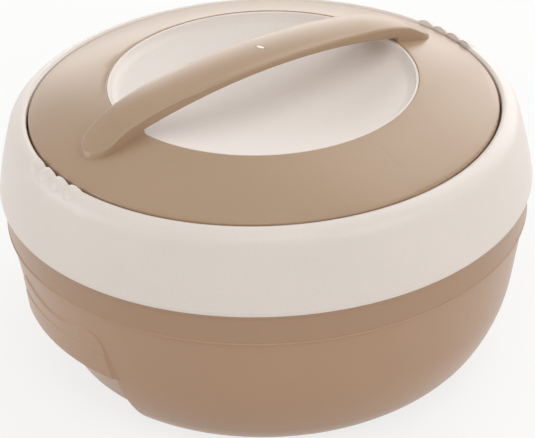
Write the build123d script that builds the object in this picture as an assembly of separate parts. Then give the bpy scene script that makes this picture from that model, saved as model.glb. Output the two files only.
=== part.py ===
from build123d import *
import math
import os

# Insulated serving bowl with a lift-off lid.
# Millimetres, +Z up, origin at the centre of the base, handle along X.

# Bowl: overall sizes
shell_height = 89.6
ring_outer_r = 126.6
ring_width = 14.6
ring_height = 35.6
rim_gap = 0.8
seat_drop = 13.0

# Outer shell
shell_wall = 2.4
lip_thickness = 1.5
lip_inset = 0.6
lip_proud = 0.8
band_height = 14.1
band_draft = 3.2
band_proud = 0.6
side_slope = 8.5
belly_height = 42.0
belly_radius = 75.0
belly_slope = 30.0
base_rise = 2.5
foot_width = 6.0
tongue_inset = 6.1
tongue_height = 14.0
lip_round = 0.5
band_round = 0.5

# Finger grips on the shell: a raised pad at each end, and a pocket for the fingers under its edge
pad_edge = 37.5
pad_middle = 49.8
pad_top = 55.5
pad_proud = 1.6
pad_middle_proud = 0.75
pad_step = 0.25
pad_top_proud = 0.4
pad_width = 57.6
pad_corner = 7.0
pad_side_lean = 43.0
pad_top_lean = 65.5
pad_root = 14.0
pad_round = 0.6
pocket_width = 75.0
pocket_depth = 4.4
pocket_foot = 10.2
pocket_foot_depth = 3.3

# Collar ring
ring_wall = 2.4
crest_slope = 10.0
skirt_slope = 76.2
crest_radius = 9.0
skirt_bulge = 0.5
crest_round = 0.9
hem_round = 0.7
ledge_setback = 1.0

# Thumb ridges on the collar
ridge_count = 4
ridge_pitch = 10.0
ridge_height = 1.6
ridge_width = 9.4
ridge_sink = 0.6
ridge_end = 62.0
ridge_fade_share = 0.75

# Steel food bowl
steel_thickness = 0.8
seat_width = 8.0
bowl_draft = 4.0
floor_foam = 11.9
bowl_corner = 30.0
flange_width = 7.0

# Foam and filling plug
foam_gap = 0.3
plug_r = 8.0
plug_head_r = 12.0
plug_head_thickness = 1.5
plug_clearance = 0.1

# Lid cover
lid_gap = 1.9
lid_wall = 2.4
lid_edge_height = 13.0
lid_edge_round = 1.6
lid_rise = 12.0
lid_crown = 0.9
cover_width = 37.5
aperture_round = 0.6

# Handle, one moulding with the lid cover
handle_height = 26.5
handle_crown = 1.7
handle_setback = 12.1
handle_width = 26.0
handle_taper = 6.0
handle_bend_length = 42.0
handle_back_drop = 3.91
handle_end_radius = 105.0
handle_edge = 3.4
handle_under_drop = 9.56
handle_round = 1.4
handle_under_round = 1.0

# Lid dish
dish_clearance = 0.3
dish_wall = 2.2
dish_set_down = 0.5
dish_lip = 0.9
dish_side_height = 3.3
dish_side_run = 1.8
dish_depth = 8.2
dish_roll = 6.0
dish_lip_round = 0.4
dish_flange = 5.0

# Lid pan and gasket
pan_wall = 2.2
pan_depth = 8.0
pan_corner = 3.0
gasket_room = 2.6
gasket_drop = 3.6
gasket_height = 3.0
groove_depth = 1.1
gasket_fit = 0.1
seal_clearance = 0.35
gasket_lip = 1.0

# Length by which a cutting body runs past what it cuts
overrun = 5.0

# Heights and radii that follow from the sizes above
ring_inner_r = ring_outer_r - ring_width
mouth_r = ring_inner_r - seat_width
skirt_z = shell_height + rim_gap
crest_z = skirt_z + ring_height
seat_z = crest_z - seat_drop
mouth_z = seat_z - ring_wall
floor_z = base_rise + shell_wall
bowl_floor_z = floor_z + floor_foam + steel_thickness
lip_r = ring_outer_r - lip_inset
band_r = lip_r - lip_proud
band_z = shell_height - lip_thickness - band_height
band_foot_r = band_r - band_height * math.tan(math.radians(band_draft))
side_top_r = band_foot_r - band_proud
tongue_r = ring_outer_r - tongue_inset

# Radii of the lid, and its heights above the seat that it rests on
lid_r = ring_inner_r - lid_gap
aperture_r = lid_r - cover_width
handle_half_length = lid_r - handle_setback
aperture_z = lid_edge_height + lid_rise


def slope_point(centre, radius, angle):
    """Point of an arc where its tangent leans by angle from the vertical, below and outside the centre."""
    lean = math.radians(angle)
    return centre[0] + radius * math.cos(lean), centre[1] - radius * math.sin(lean)


def slope_arc(centre, radius, first, last):
    """Arc round centre between two such points."""
    ends = [slope_point(centre, radius, a) for a in (first, (first + last) / 2, last)]
    return ThreePointArc(*ends)


def rounded(face, *corners):
    """Face with the corners nearest to the given points rounded."""
    for place, radius in corners:
        face = fillet(face.vertices().sort_by_distance(Vector(*place))[0], radius)
    return face


def turned(face):
    """Solid of revolution of a half section drawn as (radius, height)."""
    return revolve(Plane.XZ * face, Axis.Z)


def flat(point):
    """Radius and height of a point of a half section."""
    return point.X, point.Y


def closed(*points):
    """Half section or outline with straight sides."""
    return make_face(Polyline(*points, close=True))


# Side of the bowl: straight wall, belly arc and foot arc, all tangent
side_tan = math.tan(math.radians(side_slope))
belly_top_r = side_top_r - (band_z - belly_height) * side_tan
belly_centre = (
    belly_top_r - belly_radius * math.cos(math.radians(side_slope)),
    belly_height + belly_radius * math.sin(math.radians(side_slope)),
)
belly_sine = math.sin(math.radians(belly_slope))
foot_radius = (belly_centre[1] - belly_radius * belly_sine) / (1 - belly_sine)
foot_centre = slope_point(belly_centre, belly_radius - foot_radius, belly_slope)


def side_r(height):
    """Outer radius of the shell's side at a height on its wall or belly."""
    if height >= belly_height:
        return belly_top_r + (height - belly_height) * side_tan
    rise = belly_centre[1] - height
    return belly_centre[0] + math.sqrt(belly_radius**2 - rise**2)


def side_edges(inset, floor, top):
    """Edges of the side, set in by inset, from the floor up to the top."""
    foot_slope = math.degrees(math.asin(min(1, (foot_centre[1] - floor) / (foot_radius - inset))))
    foot = slope_arc(foot_centre, foot_radius - inset, foot_slope, belly_slope)
    if top < belly_height:
        top_slope = math.degrees(math.asin((belly_centre[1] - top) / (belly_radius - inset)))
        return [foot, slope_arc(belly_centre, belly_radius - inset, belly_slope, top_slope)]
    belly = slope_arc(belly_centre, belly_radius - inset, belly_slope, side_slope)
    start = belly @ 1
    wall = Line(start, (start.X + (top - start.Y) * side_tan, top))
    return [foot, belly, wall]


def section(edges):
    """Half section between the axis and a chain of edges that runs upwards."""
    low = edges[0] @ 0
    high = edges[-1] @ 1
    sides = Polyline(flat(low), (0, low.Y), (0, high.Y), flat(high))
    return make_face([*edges, *sides.edges()])


def grip_pad():
    """Raised pad of one grip: leaning sides round a face that stands out most along its lower edge."""

    def outline(depth):
        half = pad_width / 2 + depth * math.tan(math.radians(pad_side_lean))
        high = pad_top + depth * math.tan(math.radians(pad_top_lean))
        corner = pad_corner + depth
        face = closed((-half, pad_edge), (half, pad_edge), (half, high), (-half, high))
        face = rounded(face, ((half, high), corner), ((-half, high), corner))
        return Plane.YZ.offset(outer_x - depth) * face

    outer_x = side_r(pad_top) + pad_proud
    middle_r = side_r(pad_middle) + pad_middle_proud
    face = closed(
        (0, pad_edge),
        (side_r(pad_edge) + pad_proud, pad_edge),
        (middle_r + pad_step, pad_middle - pad_step),
        (middle_r, pad_middle),
        (side_r(band_z) + pad_top_proud, band_z),
        (0, band_z),
    )
    pad = loft([outline(0), outline(pad_root)], ruled=True) & turned(face)
    middles = [(e, e @ 0.5) for e in pad.edges()]
    proud = [(e, m) for e, m in middles if math.hypot(m.X, m.Y) > side_r(m.Z) + pad_top_proud / 2]
    rim = [e for e, m in proud if m.Z > pad_top or m.Z > pad_edge + pad_step and abs(m.Y) > pad_step]
    return fillet(rim, pad_round)


def grip_pocket(inset):
    """Body that cuts the pocket of one grip, for the shell's face (inset 0) or for a face inside it."""
    depth = inset + pocket_foot_depth
    edge_slope = math.degrees(math.asin((foot_centre[1] - pocket_foot) / (foot_radius - depth)))
    foot = slope_arc(foot_centre, foot_radius - depth, 90, edge_slope)
    high = pad_edge + inset
    wall = Line(foot @ 1, (side_r(pad_edge) - pocket_depth - inset, high))
    drop = Line((foot_centre[0], 0), flat(foot @ 0))
    half = pocket_width / 2 + inset
    outline = closed((-half, -overrun), (half, -overrun), (half, high), (-half, high))
    return extrude(Plane.YZ * outline, ring_outer_r + overrun) - turned(section([drop, foot, wall]))


def bowl_form(inset, floor, top):
    """Body of the bowl inside its side, set in by inset, with the pockets of the grips in it."""
    pocket = grip_pocket(inset)
    return turned(section(side_edges(inset, floor, top))) - pocket - Rot(0, 0, 180) * pocket


def make_outer_shell():
    """Moulded body: side with grips, band and lip, foot ring, and a tongue that goes up inside the collar."""
    lip_z = shell_height - lip_thickness
    upper = closed(
        (0, band_z),
        (band_foot_r, band_z),
        (band_r, lip_z),
        (lip_r, lip_z),
        (lip_r, shell_height),
        (tongue_r, shell_height),
        (tongue_r, shell_height + tongue_height),
        (0, shell_height + tongue_height),
    )
    upper = rounded(
        upper,
        ((band_foot_r, band_z), band_round),
        ((lip_r, lip_z), lip_round),
        ((lip_r, shell_height), lip_round),
    )
    shoulder_z = shell_height - shell_wall
    tongue_inner_r = tongue_r - shell_wall
    cavity_r = side_top_r - shell_wall
    cavity = bowl_form(shell_wall, floor_z, band_z) + turned(
        closed(
            (0, band_z),
            (cavity_r, band_z),
            (cavity_r, shoulder_z),
            (tongue_inner_r, shoulder_z),
            (tongue_inner_r, shell_height + tongue_height + overrun),
            (0, shell_height + tongue_height + overrun),
        )
    )
    foot_inner_r = foot_centre[0] - foot_width
    recess = Cylinder(foot_inner_r, base_rise, align=(Align.CENTER, Align.CENTER, Align.MIN))
    hole = Cylinder(plug_r, floor_z + overrun, align=(Align.CENTER, Align.CENTER, Align.MIN))
    pad = grip_pad()
    side = bowl_form(0, 0, band_z) + pad + Rot(0, 0, 180) * pad
    return side + turned(upper) - cavity - recess - hole


def make_rim_ring():
    """Collar: crest and flaring skirt outside, wall and seat ledge inside, with thumb ridges on the crest."""
    steep = math.radians(skirt_slope)
    shallow = math.radians(crest_slope)
    land_r = ring_inner_r + crest_round
    arc_centre = (land_r - crest_radius * math.sin(shallow), crest_z - crest_radius * math.cos(shallow))

    def over_crest(lean, proud):
        turn = math.radians(lean)
        radius = crest_radius + proud
        return arc_centre[0] + radius * math.sin(turn), arc_centre[1] + radius * math.cos(turn)

    skirt_r, skirt_top_z = over_crest(skirt_slope, 0)
    bulge = crest_round * (1 - math.sqrt(2) / 2)
    edge = ThreePointArc(
        (ring_inner_r, crest_z - crest_round),
        (ring_inner_r + bulge, crest_z - bulge),
        (land_r, crest_z),
    )
    crest = ThreePointArc(
        (land_r, crest_z),
        over_crest((crest_slope + skirt_slope) / 2, 0),
        (skirt_r, skirt_top_z),
    )
    middle = ((skirt_r + ring_outer_r) / 2, (skirt_top_z + skirt_z) / 2)
    skirt = ThreePointArc(
        (skirt_r, skirt_top_z),
        (middle[0] + skirt_bulge * math.sin(steep), middle[1] + skirt_bulge * math.cos(steep)),
        (ring_outer_r, skirt_z),
    )
    ledge_r = mouth_r + ledge_setback
    wall_r = ring_inner_r + ring_wall
    inside = Polyline(
        (ring_outer_r, skirt_z),
        (ring_outer_r - ring_wall, skirt_z),
        (skirt_r - ring_wall, skirt_top_z - ring_wall),
        (wall_r, crest_z - ring_wall),
        (wall_r, mouth_z),
        (ledge_r, mouth_z),
        (ledge_r, seat_z),
        (ring_inner_r, seat_z),
        (ring_inner_r, crest_z - crest_round),
    )
    face = make_face([edge, crest, skirt, *inside.edges()])
    face = rounded(
        face,
        ((ring_outer_r, skirt_z), hem_round),
        ((ring_outer_r - ring_wall, skirt_z), hem_round),
    )
    ring = turned(face)

    fade = ThreePointArc(
        (ring_inner_r + crest_round / 2, crest_z + ridge_height),
        over_crest(ridge_end / 2, ridge_height * ridge_fade_share),
        over_crest(ridge_end, -ridge_sink),
    )
    half = ridge_width / 2
    root = -ridge_height - ridge_sink
    back = ThreePointArc((-half, -ridge_height), (0, 0), (half, -ridge_height))
    sides = Polyline((half, -ridge_height), (half, root), (-half, root), (-half, -ridge_height))
    path = Plane.XZ * fade
    start = Plane(origin=path @ 0, x_dir=(0, 1, 0), z_dir=path % 0)
    ridge = sweep(start * make_face([back, *sides.edges()]), path=path)
    ridge_step = math.degrees(ridge_pitch / ring_inner_r)
    turns = [(number - (ridge_count - 1) / 2) * ridge_step for number in range(ridge_count)]
    return ring + [Rot(0, 0, end + turn) * ridge for end in (0, 180) for turn in turns]


def food_form(inset, top):
    """Body of the steel bowl's inside, set out by inset, up to the top."""
    draft = math.tan(math.radians(bowl_draft))
    low = bowl_floor_z - inset
    foot_r = mouth_r + inset - (mouth_z - low) * draft
    top_r = mouth_r + inset + (top - mouth_z) * draft
    face = closed((0, low), (foot_r, low), (top_r, top), (0, top))
    return turned(rounded(face, ((foot_r, low), bowl_corner + inset)))


def make_inner_bowl():
    """Pressed steel food bowl with a flat flange."""
    flange_r = mouth_r + flange_width
    flange = Cylinder(flange_r, steel_thickness, align=(Align.CENTER, Align.CENTER, Align.MAX))
    bowl = food_form(steel_thickness, mouth_z) + Pos(0, 0, mouth_z) * flange
    return bowl - food_form(0, mouth_z + overrun)


def make_bowl_foam():
    """Insulation that fills the space between the shell and the steel bowl."""
    inset = shell_wall + foam_gap
    shoulder_z = shell_height - inset
    top_z = mouth_z - steel_thickness - foam_gap
    side = side_top_r - inset
    neck = tongue_r - inset
    step = [(side, band_z), (side, shoulder_z), (neck, shoulder_z), (neck, top_z)]
    upper = closed((0, band_z), *step, (0, top_z))
    filling = bowl_form(inset, floor_z + foam_gap, band_z) + turned(upper)
    return filling - food_form(steel_thickness + foam_gap, top_z + overrun)


def make_base_plug():
    """Push-in plug of the foam filling hole, its head inside the foot ring."""
    stem_r = plug_r - plug_clearance
    head_z = base_rise - plug_head_thickness
    head = [(0, head_z), (plug_head_r, head_z), (plug_head_r, base_rise)]
    stem = [(stem_r, base_rise), (stem_r, floor_z), (0, floor_z)]
    return turned(closed(*head, *stem))


# Top of the lid cover: a low dome, as an arc over the chord from the edge up to the aperture
dome_chord = math.hypot(lid_r - aperture_r, lid_rise)
dome_radius = (dome_chord**2 / 4 + lid_crown**2) / (2 * lid_crown)
dome_centre_r = (lid_r + aperture_r) / 2 - (dome_radius - lid_crown) * lid_rise / dome_chord
dome_centre_z = lid_edge_height + lid_rise / 2 - (dome_radius - lid_crown) * (lid_r - aperture_r) / dome_chord


def dome_z(radius, depth):
    """Height of the dome, or of a face at a depth below it, at a radius."""
    return dome_centre_z + math.sqrt((dome_radius - depth) ** 2 - (radius - dome_centre_r) ** 2)


def dome_arc(depth, first, last):
    """Arc at a depth below the dome, between two radii."""
    return ThreePointArc(*[(r, dome_z(r, depth)) for r in (first, (first + last) / 2, last)])


def handle_line(height, reach):
    """Side view of the handle's edge: a flat arc over the middle and a tighter, tangent arc to each tip."""
    bend_x = handle_half_length - handle_bend_length
    back_radius = (bend_x**2 + handle_back_drop**2) / (2 * handle_back_drop)
    lean = math.asin(bend_x / back_radius)
    end_x = (back_radius - handle_end_radius) * math.sin(lean)
    end_z = height - back_radius + (back_radius - handle_end_radius) * math.cos(lean)
    last = math.asin((reach - end_x) / handle_end_radius)

    def at(side, turn):
        return side * (end_x + handle_end_radius * math.sin(turn)), end_z + handle_end_radius * math.cos(turn)

    halfway = (lean + last) / 2
    left = ThreePointArc(at(-1, last), at(-1, halfway), at(-1, lean))
    back = ThreePointArc(at(-1, lean), (0, height), at(1, lean))
    right = ThreePointArc(at(1, lean), at(1, halfway), at(1, last))
    return Plane.XZ * (left + back + right)


def handle_outline():
    """Plan of the handle: two flat arcs along its sides, tangent to a round tip at each end."""
    half = handle_width / 2
    tip_r = half - handle_taper / 2
    tip_x = handle_half_length - tip_r
    side_radius = (tip_x**2 + half**2 - tip_r**2) / handle_taper
    side_share = side_radius / (side_radius - tip_r)
    meet_x = tip_x * side_share
    meet_y = (side_radius - half) * (side_share - 1)
    edges = []
    for turn in (1, -1):
        x = turn * meet_x
        y = turn * meet_y
        edges.append(ThreePointArc((-x, y), (0, turn * half), (x, y)))
        edges.append(ThreePointArc((x, y), (turn * handle_half_length, 0), (x, -y)))
    return make_face(edges)


def make_handle():
    """Arched strap with a crowned back and round tips, open underneath over the aperture."""
    edge_z = lid_edge_height + handle_height
    half = handle_width / 2
    brim = half + handle_crown
    crown_radius = (half**2 + handle_crown**2) / (2 * handle_crown)
    brim_z = math.sqrt(crown_radius**2 - brim**2) - crown_radius + handle_crown
    back = ThreePointArc((-brim, brim_z), (0, handle_crown), (brim, brim_z))
    sides = Polyline((brim, brim_z), (brim, -handle_height), (-brim, -handle_height), (-brim, brim_z))
    path = handle_line(edge_z, handle_half_length + half)
    start = Plane(origin=path @ 0, x_dir=(0, 1, 0), z_dir=path % 0)
    arch = sweep(start * make_face([back, *sides.edges()]), path=path)
    strap = arch & extrude(handle_outline(), edge_z + overrun)
    walls = strap.faces().filter_by(GeomType.CYLINDER)
    block = fillet([e for e in walls.edges() if (e @ 0.5).Z > lid_edge_height + handle_crown], handle_round)

    under_z = edge_z - handle_edge
    root_r = aperture_r + aperture_round
    reach = root_r + handle_edge
    top_z = edge_z + overrun
    under_radius = (root_r**2 + handle_under_drop**2) / (2 * handle_under_drop)
    end_z = under_z - under_radius + math.sqrt(under_radius**2 - reach**2)
    under = ThreePointArc((-reach, end_z), (0, under_z), (reach, end_z))
    window = Polyline((reach, end_z), (reach, top_z), (-reach, top_z), (-reach, end_z))
    bridge = block & extrude(Plane.XZ * make_face([under, *window.edges()]), handle_width, both=True)
    middles = [(e, e @ 0.5) for e in bridge.edges()]
    low_edges = [e for e, m in middles if abs(m.X) < handle_edge and m.Z < edge_z - handle_edge / 2]
    bridge = fillet(low_edges, handle_under_round)

    dome = dome_arc(lid_wall / 2, root_r, lid_r)
    air = Polyline(flat(dome @ 1), (lid_r, top_z), (root_r, top_z), flat(dome @ 0))
    return bridge + (block & turned(make_face([dome, *air.edges()])))


def make_lid_cover():
    """Brown cover of the lid: domed annulus with a skirt, and the handle over its aperture."""
    skirt_inner_r = lid_r - lid_wall
    over = dome_arc(0, aperture_r, lid_r)
    under = dome_arc(lid_wall, aperture_r, skirt_inner_r)
    rim = Polyline(
        (lid_r, lid_edge_height),
        (lid_r, pan_wall),
        (skirt_inner_r, pan_wall),
        (skirt_inner_r, dome_z(skirt_inner_r, lid_wall)),
    )
    inner = Line((aperture_r, dome_z(aperture_r, lid_wall)), (aperture_r, aperture_z))
    face = make_face([over, *rim.edges(), under, inner])
    face = rounded(
        face,
        ((lid_r, lid_edge_height), lid_edge_round),
        ((aperture_r, aperture_z), aperture_round),
    )
    return turned(face) + make_handle()


def dish_arc(drop, radius):
    """Arc of the dish's floor, or of a face at a drop below it, from the axis out to a radius."""
    bottom = dish_floor_z - drop
    centre_z = dish_floor_z + dish_radius

    def height(r):
        return centre_z - math.sqrt((dish_radius + drop) ** 2 - r**2)

    return ThreePointArc((0, bottom), (radius / 2, height(radius / 2)), (radius, height(radius)))


# Dish in the aperture
dish_r = aperture_r - dish_clearance
dish_top_z = aperture_z - dish_set_down
dish_foot_r = dish_r - dish_lip - dish_side_run
dish_foot_z = dish_top_z - dish_side_height
dish_floor_z = dish_foot_z - dish_depth
dish_radius = (dish_foot_r**2 + dish_depth**2) / (2 * dish_depth)
dish_flange_r = aperture_r + dish_flange


def make_lid_dish():
    """Cream dish under the handle: shallow floor, short steep side, and a flange under the cover."""
    gap = lid_wall + dish_clearance
    over = dish_arc(0, dish_foot_r)
    under = dish_arc(dish_wall, dish_foot_r)
    flange_z = dome_z(dish_flange_r, gap)
    side = Polyline(
        (dish_foot_r, dish_foot_z),
        (dish_r - dish_lip, dish_top_z),
        (dish_r, dish_top_z),
        (dish_r, dome_z(dish_r, gap)),
        (dish_flange_r, flange_z),
        (dish_flange_r, flange_z - dish_wall),
        flat(under @ 1),
    )
    face = make_face([over, *side.edges(), under, Line(under @ 0, over @ 0)])
    face = rounded(
        face,
        ((dish_foot_r, dish_foot_z), dish_roll),
        ((dish_r - dish_lip, dish_top_z), dish_lip_round),
        ((dish_r, dish_top_z), dish_lip_round),
    )
    return turned(face)


# Pan that closes the lid from below
plug_wall_r = mouth_r - gasket_room
pan_inner_r = plug_wall_r - groove_depth - pan_wall
pan_floor_z = -ring_wall - pan_depth
gasket_z = -ring_wall - gasket_drop


def make_lid_pan():
    """Pan under the lid: flange that rests on the collar's ledge, and a plug with the gasket's groove."""
    low = gasket_z - gasket_height / 2
    high = gasket_z + gasket_height / 2
    groove_r = plug_wall_r - groove_depth
    face = closed(
        (0, pan_floor_z),
        (plug_wall_r, pan_floor_z),
        (plug_wall_r, low),
        (groove_r, low),
        (groove_r, high),
        (plug_wall_r, high),
        (plug_wall_r, 0),
        (lid_r, 0),
        (lid_r, pan_wall),
        (pan_inner_r, pan_wall),
        (pan_inner_r, pan_floor_z + pan_wall),
        (0, pan_floor_z + pan_wall),
    )
    return turned(rounded(face, ((plug_wall_r, pan_floor_z), pan_corner / 2)))


def make_lid_gasket():
    """Silicone ring in the pan's groove, with a lip towards the steel bowl."""
    low = gasket_z - gasket_height / 2 + gasket_fit
    high = gasket_z + gasket_height / 2 - gasket_fit
    root_r = plug_wall_r - groove_depth + gasket_fit
    lip_r = mouth_r - gasket_drop * math.tan(math.radians(bowl_draft)) - seal_clearance
    half_lip = gasket_lip / 2
    lip = [(lip_r, gasket_z - half_lip), (lip_r, gasket_z + half_lip)]
    return turned(closed((root_r, low), (plug_wall_r, low), *lip, (plug_wall_r, high), (root_r, high)))


def make_lid_foam():
    """Insulation in the lid, between the pan, the cover and the dish."""
    low = pan_floor_z + pan_wall + foam_gap
    neck_r = pan_inner_r - foam_gap
    step_z = pan_wall + foam_gap
    rim_r = lid_r - lid_wall - foam_gap
    room_r = dish_flange_r + foam_gap
    room_z = dome_z(dish_flange_r, lid_wall + dish_clearance) - dish_wall - foam_gap
    under = dish_arc(dish_wall + foam_gap, dish_foot_r)
    over = dome_arc(lid_wall + foam_gap, room_r, rim_r)
    rise = Polyline(flat(under @ 1), (room_r, room_z), flat(over @ 0))
    step = [(rim_r, step_z), (neck_r, step_z), (neck_r, low)]
    side = Polyline(flat(over @ 1), *step, (0, low), flat(under @ 0))
    return turned(make_face([under, *rise.edges(), over, *side.edges()]))


seat = Pos(0, 0, seat_z)
parts = {
    "outer_shell": make_outer_shell(),
    "rim_ring": make_rim_ring(),
    "inner_bowl": make_inner_bowl(),
    "bowl_foam": make_bowl_foam(),
    "base_plug": make_base_plug(),
    "lid_cover": seat * make_lid_cover(),
    "lid_dish": seat * make_lid_dish(),
    "lid_pan": seat * make_lid_pan(),
    "lid_gasket": seat * make_lid_gasket(),
    "lid_foam": seat * make_lid_foam(),
}
os.makedirs("parts", exist_ok=True)
for name, solid in parts.items():
    export_step(solid, f"parts/{name}.step")
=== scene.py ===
import math

import bpy
from bpy.props import FloatProperty, PointerProperty, StringProperty
from mathutils import Matrix, Vector


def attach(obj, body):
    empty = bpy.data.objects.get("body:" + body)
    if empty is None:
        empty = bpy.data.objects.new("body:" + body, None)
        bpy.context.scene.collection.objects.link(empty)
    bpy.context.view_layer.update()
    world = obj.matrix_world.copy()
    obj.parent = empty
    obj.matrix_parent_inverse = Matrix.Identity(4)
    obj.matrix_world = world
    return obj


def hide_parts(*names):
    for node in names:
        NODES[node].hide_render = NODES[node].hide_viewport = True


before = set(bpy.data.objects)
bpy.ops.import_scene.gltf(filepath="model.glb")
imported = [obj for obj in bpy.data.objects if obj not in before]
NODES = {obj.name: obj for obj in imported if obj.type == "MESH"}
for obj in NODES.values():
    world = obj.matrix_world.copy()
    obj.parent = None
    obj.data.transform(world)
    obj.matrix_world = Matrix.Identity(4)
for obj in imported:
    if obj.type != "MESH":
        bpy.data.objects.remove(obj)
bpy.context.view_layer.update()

bl_info = {
    "name": "Insulated serving bowl",
    "version": (1, 0, 0),
    "blender": (4, 5, 0),
    "location": "View3D > Sidebar > Serving bowl",
    "description": "Finishes an insulated serving bowl with a lift-off lid, and sets a studio for it",
    "category": "Object",
}

MM = 0.001
SEAM = 0.001 * MM

# Stage: places and reaches in metres, the sensor in millimetres, and the glow near the bowl as a share
SENSOR_WIDTH = 36.0
CAMERA_PLACE = (-0.45297, -0.64931, 0.54554)
AIM = Vector((0, 0, 0.08))
FLOOR_RADIUS, FLOOR_SIDES = 4.0, 96
GLOW_START, GLOW_END, GLOW_NEAR = 0.2, 0.8, 0.78
WHITE, CARD_WHITE = "#FFFFFF", "#EFEDEA"

# Soft boxes round the bowl: width and height in metres, place as the camera sees it, and power in watts.
# The glow shows only in reflections.
REFLECTED_GLOW = "back_glow"
SOFT_BOXES = (
    ("overhead_box", (2.0, 2.0), (0.0, 0.0, 1.9), 4.8),
    ("high_back_box", (1.2, 1.2), (0.9, 0.9, 1.4), 8.5),
    ("back_box", (1.4, 1.0), (0.0, 1.7, 0.6), 5.5),
    (REFLECTED_GLOW, (3.2, 0.5), (0.0, 1.6, 0.3), 3.5),
    ("back_right_box", (1.4, 1.0), (1.3, 1.3, 0.6), 7.4),
    ("right_box", (1.2, 1.0), (1.8, 0.0, 0.6), 1.2),
    ("left_box", (1.2, 1.0), (-1.8, 0.0, 0.6), 9.5),
    ("front_left_box", (1.0, 1.0), (-1.2, -1.2, 0.9), 1.5),
    ("front_right_box", (1.0, 1.0), (1.2, -1.2, 0.9), 8.0),
    ("high_front_box", (1.0, 1.0), (0.0, -1.2, 1.5), 5.5),
)

# Edges of the moulded pieces, as radius and height in millimetres
HEM_BEAD = ((124.9, 89.5), (126.0, 89.3), (126.35, 89.6), (126.45, 90.2), (126.3, 90.8), (124.9, 90.8))
DISH_BEAD = ((71.9, 137.2), (72.5, 137.2), (72.5, 137.5), (72.4, 137.6), (72.2, 137.6), (71.9, 137.5))
MOUTH_BEAD = (
    (112.4, 121.0), (111.05, 121.0), (111.05, 125.0), (111.6, 125.6), (112.6, 125.9), (113.2, 125.2))
BAND_BEAD = ((123.7, 73.5), (124.45, 73.45), (124.75, 73.8), (124.75, 74.2), (124.5, 74.5), (123.9, 74.6))
BEAD_STEPS = 192
MOUTH_STEPS = 720
MOUTH_LIP_R, MOUTH_LIP_Z = MOUTH_BEAD[2]
MOUTH_CREST_R = MOUTH_BEAD[4][0]
BEAD_CREASE = math.radians(60)

# Thumb ridges at each end of the handle line, as they cross the mouth: sizes in millimetres
RIDGE_TURNS = [math.radians(turn) for turn in (-7.67, -2.56, 2.56, 7.67)]
RIDGE_HALF, RIDGE_HEIGHT, RIDGE_RADIUS = 4.7, 1.6, 7.7
RIDGE_ZONE = math.radians(10.2)
RIDGE_FADE = math.radians(1.2)
NOTCH_DEPTH = 1.2
RIDGE_OVERLAP = 0.3

# Dome of the cover, and where the ends of its handle run down to it, in millimetres
DOME_RADIUS, DOME_CENTRE_R, DOME_CENTRE_Z = 215.76, 25.87, -72.64
END_START, END_TIP, END_SHARE = 80.0, 98.0, 0.6
END_LEAN = 0.2
COVER_CREASE = math.radians(28)

# Marks of moulding on the cover, in millimetres: the gate on top of the handle, and the two weld lines where
# the plastic met. The gate's core and edge are shares of its size.
GATE_PLACE = (-0.8, -0.3, 153.9)
GATE_SIZE = (2.4, 1.1, 3.0)
GATE_TURN = math.radians(-70)
WELD_TURNS = (math.radians(-87), math.radians(90.6))
GATE_CORE, GATE_EDGE, GATE_SHADE = (0.7, 1.0), (1.1, 1.7), 0.2
STRAIN_COLOUR, STRAIN_LEVEL = "#FFF6EC", 0.85
WELD_START, WELD_END, WELD_WIDTH, WELD_SHADE = 77.0, 99.0, 1.0, 0.06

# Band under the collar: its foot and the fade above it in millimetres, and how far painted shade darkens it
BAND_FOOT, BAND_FADE, BAND_PAINTED_SHADE = 74.0, (0.2, 1.0), 0.07

# Finishes: sizes in millimetres, and each range from low to high
PLASTIC_IOR, SILICONE_IOR = 1.49, 1.41
SHELL_ROUGHNESS, COVER_ROUGHNESS, CREAM_ROUGHNESS, GLOSS_SPREAD = 0.31, 0.31, 0.4, 0.02
WIDE_LOW, WIDE_HIGH = 0.1, 0.9
MID_LOW, MID_HIGH = 0.3, 0.7
CLOUD_SIZE, CLOUD_TONE = 60.0, (0.96, 1.04)
SPECK_SIZE, SPECK_TONE = 1.1, (0.975, 1.025)
PEEL_SIZE, PEEL_STRENGTH, PEEL_DEPTH = 0.9, 0.12, 0.05
RING_SIZE, RING_STRENGTH, RING_DEPTH, STEEL_GLOSS = 0.7, 0.15, 0.05, (0.2, 0.34)
CELL_SIZE, CELL_REACH, CELL_TONE = 1.4, 0.8, (0.86, 1.04)
CELL_STRENGTH, CELL_DEPTH, FOAM_ROUGHNESS = 0.5, 0.3, 0.95
MILK_SIZE, SILICONE_GLOSS = 4.0, (0.4, 0.52)
MILK_WEIGHT, MILK_DEPTH, MILK_RADIUS = 0.4, 1.5, (1.0, 0.95, 0.9)


# Settings that a user would change

class FinishSettings(bpy.types.PropertyGroup):
    """Colours of the moulded, pressed and foamed pieces."""

    brown: StringProperty(
        name="Brown",
        description="Moulded polypropylene of the shell, as sRGB hex",
        default="#AE8C70",
    )
    # The cover's brown is greyed from the shell's as painted sheen, for the whitish haze of light on the lid
    cover: StringProperty(
        name="Cover",
        description="Moulded polypropylene of the lid cover, a little greyer than the shell, as sRGB hex",
        default="#A98D72",
    )
    cream: StringProperty(
        name="Cream",
        description="Moulded polypropylene of the collar, the dish and the lid pan, as sRGB hex",
        default="#E1D7CF",
    )
    steel: StringProperty(
        name="Steel",
        description="Spun stainless steel of the food bowl, as sRGB hex",
        default="#C9C7C2",
    )
    foam: StringProperty(
        name="Foam",
        description="Rigid insulating foam, as sRGB hex",
        default="#E6D3A3",
    )
    silicone: StringProperty(
        name="Silicone",
        description="Clear cast silicone of the lid seal, as sRGB hex",
        default="#DAD8D2",
    )


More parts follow.
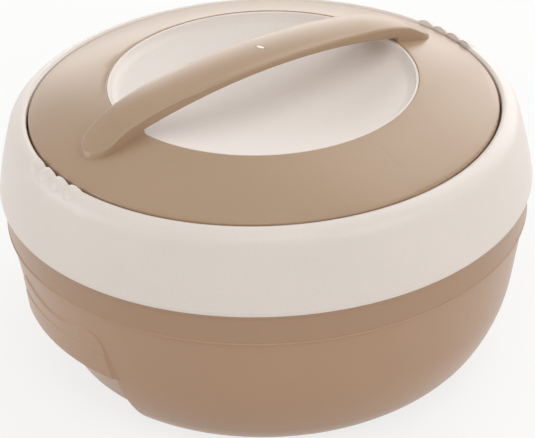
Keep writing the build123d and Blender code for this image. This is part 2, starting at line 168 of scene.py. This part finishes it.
class StageSettings(bpy.types.PropertyGroup):
    """Camera and studio light."""

    view_turn: FloatProperty(
        name="View turn",
        description="Turn of the camera about the bowl, from square to the handle",
        default=math.radians(-34.9),
        subtype="ANGLE",
    )
    view_dip: FloatProperty(
        name="View dip",
        description="Angle at which the camera looks down",
        default=math.radians(31.48),
        subtype="ANGLE",
    )
    view_roll: FloatProperty(
        name="View roll",
        description="Turn of the camera about its own line of sight",
        default=math.radians(-1.97),
        subtype="ANGLE",
    )
    lens: FloatProperty(
        name="Lens",
        description="Focal length on a sensor 36 mm wide",
        default=128.4,
        min=1.0,
        subtype="DISTANCE_CAMERA",
    )
    ambient: FloatProperty(
        name="Ambient",
        description="Strength of the studio's white surroundings on matt surfaces",
        default=0.35,
        min=0.0,
    )
    box_level: FloatProperty(
        name="Box level",
        description="Share of their power that the soft boxes give",
        default=1.0,
        min=0.0,
        subtype="FACTOR",
    )


# Small helpers

def settings(context, group):
    """Return one of the add-on's groups of settings."""
    return getattr(context.scene, group)


def linear(hex_colour):
    """Turn an sRGB hex colour into linear red, green, blue and alpha."""
    channels = [int(hex_colour[i:i + 2], 16) / 255 for i in (1, 3, 5)]
    return (*[c / 12.92 if c <= 0.04045 else ((c + 0.055) / 1.055) ** 2.4 for c in channels], 1.0)


def add_node(tree, kind, inputs=None, **fields):
    """Add one node, set its fields, and give each listed input a value or a link."""
    node = tree.nodes.new(kind)
    for name, value in fields.items():
        setattr(node, name, value)
    for key, value in (inputs or {}).items():
        if isinstance(value, bpy.types.NodeSocket):
            tree.links.new(value, node.inputs[key])
        else:
            node.inputs[key].default_value = value
    return node


def new_material(name):
    """Return a new material, its empty node tree and its output node."""
    material = bpy.data.materials.new(name)
    material.use_nodes = True
    material.node_tree.nodes.clear()
    output = add_node(material.node_tree, "ShaderNodeOutputMaterial")
    return material, material.node_tree, output


def per_metre(size_mm):
    """Scale of a pattern on coordinates in metres, from the size of one feature in millimetres."""
    return 1 / (size_mm * MM)


def dress(node, material):
    """Give a CAD node its finish."""
    for slot in NODES[node].material_slots:
        slot.material = material


def turned_bead(name, profile, material, body, steps=BEAD_STEPS):
    """Model a bead by drawing its closed outline point by point and spinning it round the bowl's axis."""
    points = [Vector((radius * MM, 0, height * MM)) for radius, height in profile]
    bpy.ops.object.select_all(action="DESELECT")
    bpy.ops.mesh.primitive_plane_add(size=MM, location=(0, 0, 0))
    bead = bpy.context.object
    bead.name = name
    bpy.ops.object.mode_set(mode="EDIT")
    bpy.ops.mesh.select_all(action="SELECT")
    bpy.ops.mesh.merge(type="CENTER")
    bpy.ops.transform.translate(value=points[0])
    for here, there in zip(points, points[1:] + points[:1]):
        bpy.ops.mesh.extrude_region_move(TRANSFORM_OT_translate={"value": there - here})
    bpy.ops.mesh.select_all(action="SELECT")
    bpy.ops.mesh.remove_doubles(threshold=SEAM)
    bpy.ops.mesh.spin(steps=steps, angle=math.tau, center=(0, 0, 0), axis=(0, 0, 1))
    bpy.ops.mesh.select_all(action="SELECT")
    bpy.ops.mesh.remove_doubles(threshold=SEAM)
    bpy.ops.mesh.normals_make_consistent(inside=False)
    bpy.ops.object.mode_set(mode="OBJECT")
    bpy.ops.object.shade_smooth_by_angle(angle=BEAD_CREASE)
    bead.data.materials.append(material)
    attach(bead, body)
    return bead


def ridge_rise(turn):
    """Return how far a thumb ridge rises at a turn about the axis, and how deep the notch is there."""
    nearest = abs((turn + math.pi / 2) % math.pi - math.pi / 2)
    side = nearest if math.cos(turn) > 0 else -nearest
    rise = 0.0
    for middle in RIDGE_TURNS:
        across = abs(side - middle) * MOUTH_CREST_R
        if across < RIDGE_HALF:
            rise = RIDGE_HEIGHT - RIDGE_RADIUS + math.sqrt(RIDGE_RADIUS ** 2 - across ** 2)
    inside = min(max((RIDGE_ZONE - nearest) / RIDGE_FADE, 0.0), 1.0)
    return rise, inside * NOTCH_DEPTH * (1 - rise / RIDGE_HEIGHT)


def scallop(bead):
    """Raise a turned bead into each thumb ridge and draw it back between them."""
    for vertex in bead.data.vertices:
        place = vertex.co
        if place.z < MOUTH_LIP_Z * MM - SEAM:
            continue
        rise, notch = ridge_rise(math.atan2(place.y, place.x))
        radius = math.hypot(place.x, place.y)
        outward = (radius / MM - MOUTH_LIP_R) / (MOUTH_CREST_R - MOUTH_LIP_R)
        share = min(max(outward, 0.0), 1.0)
        push = 1 + notch * (1 - share) * MM / radius
        place.x *= push
        place.y *= push
        if radius < (MOUTH_CREST_R + RIDGE_OVERLAP) * MM:
            place.z += rise * share * MM


def handle_cover(material):
    """Copy the lid's cover and let both ends of its handle run down towards the dome."""
    bpy.ops.object.select_all(action="DESELECT")
    cover = bpy.data.objects.new("handle_cover", NODES["lid_cover"].data.copy())
    bpy.context.scene.collection.objects.link(cover)
    bpy.context.view_layer.objects.active = cover
    cover.select_set(True)
    bpy.ops.object.mode_set(mode="EDIT")
    bpy.ops.mesh.select_all(action="SELECT")
    bpy.ops.mesh.remove_doubles(threshold=SEAM)
    bpy.ops.mesh.customdata_custom_splitnormals_clear()
    bpy.ops.object.mode_set(mode="OBJECT")
    for vertex in cover.data.vertices:
        place = vertex.co / MM
        way = (abs(place.x) - END_START) / (END_TIP - END_START)
        dome = DOME_CENTRE_Z + math.sqrt(DOME_RADIUS ** 2 - (place.xy.length - DOME_CENTRE_R) ** 2)
        above = place.z - dome
        if way > 0 and above > 0:
            way = min(way, 1.0)
            lowered = (1 - END_SHARE) * way * way * (3 - 2 * way)
            vertex.co.z -= above * lowered * MM
            vertex.co.x -= math.copysign(above * END_LEAN * way * MM, place.x)
    bpy.ops.object.shade_smooth_by_angle(angle=COVER_CREASE)
    cover.data.materials.clear()
    cover.data.materials.append(material)
    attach(cover, "lid")
    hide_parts("lid_cover")


# Materials

def gate_and_welds(tree, place):
    """Marks of moulding on the cover. Return how far each point is whitened and how far it is darkened.

    The cut gate leaves a pale sliver of strained plastic with a dark edge, and the two fronts of
    plastic that met square to the handle leave a faint darker line. The lines are drawn about
    twice as wide as they are, so that they show.
    """
    spot = add_node(tree, "ShaderNodeMapping", {
        "Vector": place,
        "Location": [value * MM for value in GATE_PLACE],
        "Rotation": (0, 0, GATE_TURN),
        "Scale": [value * MM for value in GATE_SIZE],
    }, vector_type="TEXTURE")
    reach = add_node(tree, "ShaderNodeVectorMath", {0: spot.outputs["Vector"]}, operation="LENGTH")
    pale = add_node(tree, "ShaderNodeMapRange", {
        "Value": reach.outputs["Value"],
        "From Min": GATE_CORE[0], "From Max": GATE_CORE[1], "To Min": 1.0, "To Max": 0.0})
    dark = add_node(tree, "ShaderNodeMapRange", {
        "Value": reach.outputs["Value"],
        "From Min": GATE_EDGE[0], "From Max": GATE_EDGE[1], "To Min": GATE_SHADE, "To Max": 0.0})
    shade = dark.outputs["Result"]
    for turn in WELD_TURNS:
        along = add_node(tree, "ShaderNodeMapping", {
            "Vector": place, "Rotation": (0, 0, turn)}, vector_type="TEXTURE")
        axes = add_node(tree, "ShaderNodeSeparateXYZ", {"Vector": along.outputs["Vector"]})
        aside = add_node(tree, "ShaderNodeMath", {0: axes.outputs["Y"]}, operation="ABSOLUTE")
        line = add_node(tree, "ShaderNodeMapRange", {
            "Value": aside.outputs["Value"],
            "From Max": WELD_WIDTH * MM, "To Min": 1.0, "To Max": 0.0})
        middle = add_node(tree, "ShaderNodeMath", {
            0: axes.outputs["X"], 1: (WELD_START + WELD_END) / 2 * MM}, operation="SUBTRACT")
        off = add_node(tree, "ShaderNodeMath", {0: middle.outputs["Value"]}, operation="ABSOLUTE")
        length = add_node(tree, "ShaderNodeMapRange", {
            "Value": off.outputs["Value"],
            "From Min": (WELD_END - WELD_START) / 4 * MM, "From Max": (WELD_END - WELD_START) / 2 * MM,
            "To Min": WELD_SHADE, "To Max": 0.0})
        weld = add_node(tree, "ShaderNodeMath", {
            0: line.outputs["Result"], 1: length.outputs["Result"]}, operation="MULTIPLY")
        total = add_node(tree, "ShaderNodeMath", {0: shade, 1: weld.outputs["Value"]}, operation="ADD")
        shade = total.outputs["Value"]
    return pale.outputs["Result"], shade


def painted_band_shade(tree, place):
    """Band under the collar, which painted shade makes a little darker than the shell below it.

    Return no whitening, and how far each point is darkened.
    """
    axes = add_node(tree, "ShaderNodeSeparateXYZ", {"Vector": place})
    # Painted shade: the base colour is darkened over the band, above its foot
    band = add_node(tree, "ShaderNodeMapRange", {
        "Value": axes.outputs["Z"],
        "From Min": (BAND_FOOT + BAND_FADE[0]) * MM, "From Max": (BAND_FOOT + BAND_FADE[1]) * MM,
        "To Max": BAND_PAINTED_SHADE})
    return None, band.outputs["Result"]


def moulded_polypropylene(name, colour, roughness, marks_and_painted_shade=None):
    """Satin injection-moulded polypropylene.

    The eye gets an even body colour with faint flow clouds, a broad soft highlight, and the
    fine orange peel of a spark-eroded mould. The specks and the peel are drawn several times as
    coarse as they are, so that they show.
    """
    material, tree, output = new_material(name)
    place = add_node(tree, "ShaderNodeTexCoord").outputs["Object"]
    clouds = add_node(tree, "ShaderNodeTexNoise", {
        "Vector": place, "Scale": per_metre(CLOUD_SIZE), "Detail": 3.0, "Roughness": 0.55})
    speck = add_node(tree, "ShaderNodeTexNoise", {
        "Vector": place, "Scale": per_metre(SPECK_SIZE), "Detail": 2.0})
    cloud_tone = add_node(tree, "ShaderNodeMapRange", {
        "Value": clouds.outputs["Fac"], "From Min": WIDE_LOW, "From Max": WIDE_HIGH,
        "To Min": CLOUD_TONE[0], "To Max": CLOUD_TONE[1]}, clamp=False)
    speck_tone = add_node(tree, "ShaderNodeMapRange", {
        "Value": speck.outputs["Fac"], "From Min": WIDE_LOW, "From Max": WIDE_HIGH,
        "To Min": SPECK_TONE[0], "To Max": SPECK_TONE[1]}, clamp=False)
    tone = add_node(tree, "ShaderNodeMath", {
        0: cloud_tone.outputs["Result"], 1: speck_tone.outputs["Result"]}, operation="MULTIPLY")
    body = add_node(tree, "ShaderNodeVectorMath", {
        0: linear(colour)[:3], "Scale": tone.outputs["Value"]}, operation="SCALE")
    seen_colour = body.outputs["Vector"]
    pale, shade = marks_and_painted_shade(tree, place) if marks_and_painted_shade else (None, None)
    # Darkening: the moulding marks on the cover, and painted shade on the shell's band
    if shade:
        kept = add_node(tree, "ShaderNodeMath", {0: 1.0, 1: shade}, operation="SUBTRACT")
        shaded = add_node(tree, "ShaderNodeVectorMath", {
            0: seen_colour, "Scale": kept.outputs["Value"]}, operation="SCALE")
        seen_colour = shaded.outputs["Vector"]
    if pale:
        strained = [value * STRAIN_LEVEL for value in linear(STRAIN_COLOUR)[:3]]
        whitened = add_node(tree, "ShaderNodeMix", {
            "Factor": pale, 4: seen_colour, 5: strained}, data_type="VECTOR")
        seen_colour = whitened.outputs[1]
    gloss = add_node(tree, "ShaderNodeMapRange", {
        "Value": clouds.outputs["Fac"], "From Min": WIDE_LOW, "From Max": WIDE_HIGH,
        "To Min": roughness - GLOSS_SPREAD, "To Max": roughness + GLOSS_SPREAD}, clamp=False)
    peel = add_node(tree, "ShaderNodeTexNoise", {
        "Vector": place, "Scale": per_metre(PEEL_SIZE), "Detail": 1.0})
    bump = add_node(tree, "ShaderNodeBump", {
        "Height": peel.outputs["Fac"], "Strength": PEEL_STRENGTH, "Distance": PEEL_DEPTH * MM})
    surface = add_node(tree, "ShaderNodeBsdfPrincipled", {
        "Base Color": seen_colour,
        "Roughness": gloss.outputs["Result"],
        "IOR": PLASTIC_IOR,
        "Normal": bump.outputs["Normal"],
    })
    tree.links.new(surface.outputs["BSDF"], output.inputs["Surface"])
    return material


def spun_stainless_steel(name, colour):
    """Stainless steel polished on a spinning lathe: fine rings round the axis draw out each highlight.

    The rings are drawn coarser than they are, so that they show.
    """
    material, tree, output = new_material(name)
    place = add_node(tree, "ShaderNodeTexCoord").outputs["Object"]
    axes = add_node(tree, "ShaderNodeSeparateXYZ", {"Vector": place})
    flat = add_node(tree, "ShaderNodeCombineXYZ", {"X": axes.outputs["X"], "Y": axes.outputs["Y"]})
    radius = add_node(tree, "ShaderNodeVectorMath", {0: flat.outputs["Vector"]}, operation="LENGTH")
    along = add_node(tree, "ShaderNodeMath", {
        0: radius.outputs["Value"], 1: axes.outputs["Z"]}, operation="ADD")
    rings = add_node(tree, "ShaderNodeTexNoise", {
        "W": along.outputs["Value"], "Scale": per_metre(RING_SIZE), "Detail": 3.0}, noise_dimensions="1D")
    gloss = add_node(tree, "ShaderNodeMapRange", {
        "Value": rings.outputs["Fac"], "From Min": MID_LOW, "From Max": MID_HIGH,
        "To Min": STEEL_GLOSS[0], "To Max": STEEL_GLOSS[1]})
    bump = add_node(tree, "ShaderNodeBump", {
        "Height": rings.outputs["Fac"], "Strength": RING_STRENGTH, "Distance": RING_DEPTH * MM})
    surface = add_node(tree, "ShaderNodeBsdfPrincipled", {
        "Base Color": linear(colour),
        "Metallic": 1.0,
        "Roughness": gloss.outputs["Result"],
        "Normal": bump.outputs["Normal"],
    })
    tree.links.new(surface.outputs["BSDF"], output.inputs["Surface"])
    return material


def rigid_foam(name, colour):
    """Rigid polyurethane foam: matt and straw coloured, with closed cells.

    The cells are drawn coarser than they are, so that they show.
    """
    material, tree, output = new_material(name)
    place = add_node(tree, "ShaderNodeTexCoord").outputs["Object"]
    cells = add_node(tree, "ShaderNodeTexVoronoi", {"Vector": place, "Scale": per_metre(CELL_SIZE)})
    tone = add_node(tree, "ShaderNodeMapRange", {
        "Value": cells.outputs["Distance"], "From Max": CELL_REACH,
        "To Min": CELL_TONE[0], "To Max": CELL_TONE[1]})
    body = add_node(tree, "ShaderNodeVectorMath", {
        0: linear(colour)[:3], "Scale": tone.outputs["Result"]}, operation="SCALE")
    bump = add_node(tree, "ShaderNodeBump", {
        "Height": cells.outputs["Distance"], "Strength": CELL_STRENGTH, "Distance": CELL_DEPTH * MM})
    surface = add_node(tree, "ShaderNodeBsdfPrincipled", {
        "Base Color": body.outputs["Vector"],
        "Roughness": FOAM_ROUGHNESS,
        "Normal": bump.outputs["Normal"],
    })
    tree.links.new(surface.outputs["BSDF"], output.inputs["Surface"])
    return material


def cast_silicone(name, colour):
    """Milky cast silicone: soft, faintly see-through, with the satin skin of its mould."""
    material, tree, output = new_material(name)
    place = add_node(tree, "ShaderNodeTexCoord").outputs["Object"]
    milk = add_node(tree, "ShaderNodeTexNoise", {
        "Vector": place, "Scale": per_metre(MILK_SIZE), "Detail": 2.0})
    gloss = add_node(tree, "ShaderNodeMapRange", {
        "Value": milk.outputs["Fac"], "From Min": MID_LOW, "From Max": MID_HIGH,
        "To Min": SILICONE_GLOSS[0], "To Max": SILICONE_GLOSS[1]})
    surface = add_node(tree, "ShaderNodeBsdfPrincipled", {
        "Base Color": linear(colour),
        "Roughness": gloss.outputs["Result"],
        "IOR": SILICONE_IOR,
        "Subsurface Weight": MILK_WEIGHT,
        "Subsurface Radius": MILK_RADIUS,
        "Subsurface Scale": MILK_DEPTH * MM,
    })
    tree.links.new(surface.outputs["BSDF"], output.inputs["Surface"])
    return material


def pale_sweep(name):
    """White card under and behind the bowl.

    It shows white to the camera, still takes a faint shadow near the bowl, and melts into the
    white surroundings further off.
    """
    material, tree, output = new_material(name)
    path = add_node(tree, "ShaderNodeLightPath")
    place = add_node(tree, "ShaderNodeTexCoord").outputs["Object"]
    reach = add_node(tree, "ShaderNodeVectorMath", {0: place}, operation="LENGTH")
    glow_share = add_node(tree, "ShaderNodeMapRange", {
        "Value": reach.outputs["Value"],
        "From Min": GLOW_START, "From Max": GLOW_END, "To Min": GLOW_NEAR, "To Max": 1.0})
    card = add_node(tree, "ShaderNodeBsdfDiffuse", {"Color": linear(CARD_WHITE)})
    glow = add_node(tree, "ShaderNodeEmission", {"Color": linear(WHITE), "Strength": 1.0})
    seen = add_node(tree, "ShaderNodeMath", {
        0: path.outputs["Is Camera Ray"], 1: path.outputs["Is Glossy Ray"]}, operation="MAXIMUM")
    share = add_node(tree, "ShaderNodeMath", {
        0: seen.outputs["Value"], 1: glow_share.outputs["Result"]}, operation="MULTIPLY")
    mix = add_node(tree, "ShaderNodeMixShader", {
        "Fac": share.outputs["Value"], 1: card.outputs["BSDF"], 2: glow.outputs["Emission"]})
    tree.links.new(mix.outputs["Shader"], output.inputs["Surface"])
    return material


# Operators, one for each group of pieces

class BOWL_OT_bowl(bpy.types.Operator):
    """Finish the shell, the collar, the steel bowl and what lies between them"""

    bl_idname = "serving_bowl.bowl"
    bl_label = "Finish the bowl"

    def execute(self, context):
        finish = settings(context, "bowl_finish")
        # The shell's brown carries painted shade on the band under the collar
        brown = moulded_polypropylene(
            "brown_moulded_polypropylene", finish.brown, SHELL_ROUGHNESS, painted_band_shade)
        cream = moulded_polypropylene("cream_moulded_polypropylene", finish.cream, CREAM_ROUGHNESS)
        dress("outer_shell", brown)
        dress("base_plug", brown)
        dress("rim_ring", cream)
        dress("inner_bowl", spun_stainless_steel("spun_stainless_steel", finish.steel))
        dress("bowl_foam", rigid_foam("rigid_polyurethane_foam", finish.foam))
        turned_bead("hem_bead", HEM_BEAD, cream, "bowl")
        turned_bead("band_bead", BAND_BEAD, brown, "bowl")
        scallop(turned_bead("mouth_bead", MOUTH_BEAD, cream, "bowl", MOUTH_STEPS))
        return {"FINISHED"}


class BOWL_OT_lid(bpy.types.Operator):
    """Finish the lid's cover, dish, pan, seal and foam"""

    bl_idname = "serving_bowl.lid"
    bl_label = "Finish the lid"

    def execute(self, context):
        finish = settings(context, "bowl_finish")
        cream = bpy.data.materials["cream_moulded_polypropylene"]
        # The cover's greyer brown is painted sheen on the same plastic as the shell
        cover = moulded_polypropylene(
            "brown_cover_polypropylene", finish.cover, COVER_ROUGHNESS, gate_and_welds)
        handle_cover(cover)
        dress("lid_dish", cream)
        dress("lid_pan", cream)
        dress("lid_gasket", cast_silicone("milky_cast_silicone", finish.silicone))
        dress("lid_foam", bpy.data.materials["rigid_polyurethane_foam"])
        turned_bead("dish_bead", DISH_BEAD, cream, "lid")
        return {"FINISHED"}


class BOWL_OT_stage(bpy.types.Operator):
    """Set the floor, the white surroundings, the lights and the camera"""

    bl_idname = "serving_bowl.stage"
    bl_label = "Set the stage"

    def execute(self, context):
        stage = settings(context, "bowl_stage")
        scene = context.scene
        scene.view_settings.view_transform = "Standard"
        self.floor()
        self.surroundings(scene, stage)
        self.lights(scene, stage)
        self.camera(scene, stage)
        return {"FINISHED"}

    def floor(self):
        """Lay the white card."""
        bpy.ops.object.select_all(action="DESELECT")
        bpy.ops.mesh.primitive_circle_add(
            vertices=FLOOR_SIDES, radius=FLOOR_RADIUS, fill_type="NGON", location=(0, 0, 0))
        floor = bpy.context.object
        floor.name = "floor"
        floor.data.materials.append(pale_sweep("white_card"))

    def surroundings(self, scene, stage):
        """Show white all round, and light matt surfaces at a plain level."""
        world = bpy.data.worlds.new("white_studio")
        world.use_nodes = True
        scene.world = world
        tree = world.node_tree
        tree.nodes.clear()
        path = add_node(tree, "ShaderNodeLightPath")
        mirrored = add_node(tree, "ShaderNodeMath", {
            0: path.outputs["Is Glossy Ray"], 1: path.outputs["Is Transmission Ray"]}, operation="MAXIMUM")
        seen = add_node(tree, "ShaderNodeMath", {
            0: path.outputs["Is Camera Ray"], 1: mirrored.outputs["Value"]}, operation="MAXIMUM")
        strength = add_node(tree, "ShaderNodeMapRange", {
            "Value": seen.outputs["Value"], "To Min": stage.ambient, "To Max": 1.0})
        white = add_node(tree, "ShaderNodeBackground", {
            "Color": linear(WHITE), "Strength": strength.outputs["Result"]})
        output = add_node(tree, "ShaderNodeOutputWorld")
        tree.links.new(white.outputs["Background"], output.inputs["Surface"])

    def lights(self, scene, stage):
        """Hang the soft boxes, each aimed at the bowl."""
        turn = Matrix.Rotation(stage.view_turn, 3, "Z")
        for name, size, place, power in SOFT_BOXES:
            box = bpy.data.lights.new(name, "AREA")
            box.shape = "RECTANGLE"
            box.size, box.size_y = size
            box.energy = power * stage.box_level
            lamp = bpy.data.objects.new(name, box)
            lamp.location = turn @ Vector(place)
            aim = AIM - lamp.location
            lamp.rotation_euler = aim.to_track_quat("-Z", "Y").to_euler()
            lamp.visible_camera = False
            lamp.visible_diffuse = name != REFLECTED_GLOW
            scene.collection.objects.link(lamp)

    def camera(self, scene, stage):
        """Place the camera where the photograph was taken from."""
        lens = bpy.data.cameras.new("photo_view")
        lens.sensor_fit = "HORIZONTAL"
        lens.sensor_width = SENSOR_WIDTH
        lens.lens = stage.lens
        camera = bpy.data.objects.new("photo_view", lens)
        turn = Matrix.Rotation(stage.view_turn, 3, "Z")
        dip = Matrix.Rotation(math.pi / 2 - stage.view_dip, 3, "X")
        roll = Matrix.Rotation(stage.view_roll, 3, "Z")
        camera.rotation_euler = (turn @ dip @ roll).to_euler()
        camera.location = CAMERA_PLACE
        scene.collection.objects.link(camera)
        scene.camera = camera


class BOWL_PT_panel(bpy.types.Panel):
    """Steps and settings of the serving bowl"""

    bl_idname = "BOWL_PT_panel"
    bl_label = "Serving bowl"
    bl_space_type = "VIEW_3D"
    bl_region_type = "UI"
    bl_category = "Serving bowl"

    def draw(self, context):
        for operator in OPERATORS:
            self.layout.operator(operator.bl_idname)
        for group in GROUPS:
            for name in GROUPS[group].__annotations__:
                self.layout.prop(settings(context, group), name)


GROUPS = {"bowl_finish": FinishSettings, "bowl_stage": StageSettings}
OPERATORS = (BOWL_OT_bowl, BOWL_OT_lid, BOWL_OT_stage)
CLASSES = (*GROUPS.values(), *OPERATORS, BOWL_PT_panel)


def register():
    """Add the classes and their settings."""
    for cls in CLASSES:
        bpy.utils.register_class(cls)
    for group, cls in GROUPS.items():
        setattr(bpy.types.Scene, group, PointerProperty(type=cls))


def unregister():
    """Take the classes and their settings out again."""
    for group in GROUPS:
        delattr(bpy.types.Scene, group)
    for cls in reversed(CLASSES):
        bpy.utils.unregister_class(cls)


def main():
    """Build everything."""
    register()
    bpy.ops.serving_bowl.bowl()
    bpy.ops.serving_bowl.lid()
    bpy.ops.serving_bowl.stage()


if __name__ == "__main__":
    main()
